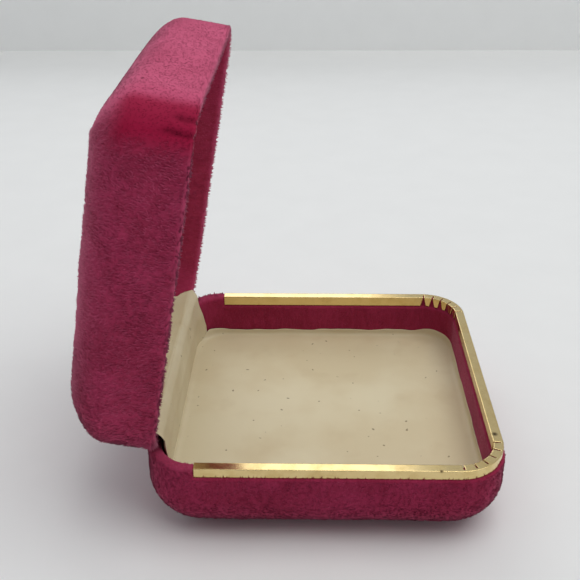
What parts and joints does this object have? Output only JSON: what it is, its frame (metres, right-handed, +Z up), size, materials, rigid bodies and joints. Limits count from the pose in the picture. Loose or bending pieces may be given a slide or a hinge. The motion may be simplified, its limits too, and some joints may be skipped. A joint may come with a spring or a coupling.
{
  "type": "hinged velvet presentation case",
  "caption": "Small square velvet-covered presentation case with a hinged lid standing open, a gilt rim on the base and a cream lined tray.",
  "frame": {"origin": "centre of the flat underside of the base", "axes": "+X from the hinge to the opening side, +Y along the hinge, +Z up; the lid stands open at rest"},
  "size_m": [0.0926, 0.077, 0.0973],
  "materials": {
    "velvet": "raspberry cotton velvet, crushed nap",
    "gilt_metal": "polished gilt strip, a few tarnish spots",
    "cream_leatherette": "smooth cream leatherette, aged",
    "pressed_steel": "bare pressed sheet",
    "rivet_steel": "plated steel wire",
    "card": "grey-brown pasteboard",
    "wadding": "cotton wadding"
  },
  "bodies": {
    "base": {"base_shell": "pressed_steel", "base_velvet_cover": "velvet", "gilt_rim_channel": "gilt_metal", "tray_board": "card", "tray_wadding": "wadding", "tray_lining": "cream_leatherette", "base_hinge_strap": "pressed_steel", "base_hinge_leaf": "pressed_steel", "base_hinge_rivets": "rivet_steel", "hinge_pin": "rivet_steel", "snap_spring": "rivet_steel", "hinge_cover": "cream_leatherette"},
    "lid": {"lid_hinge_strap": "pressed_steel", "lid_hinge_leaf": "pressed_steel", "lid_hinge_rivets": "rivet_steel", "lid_shell": "pressed_steel", "lid_velvet_cover": "velvet", "lid_board": "card", "lid_wadding": "wadding", "lid_lining": "cream_leatherette"}
  },
  "joints": [
    {"name": "lid_hinge", "type": "hinge", "parent": "base", "child": "lid", "pos_m": [-0.0373, 0, 0.0211], "axis": [0, 1, 0], "range_deg": [0, 79.5], "deforming": ["snap_spring", "hinge_cover"]}
  ]
}
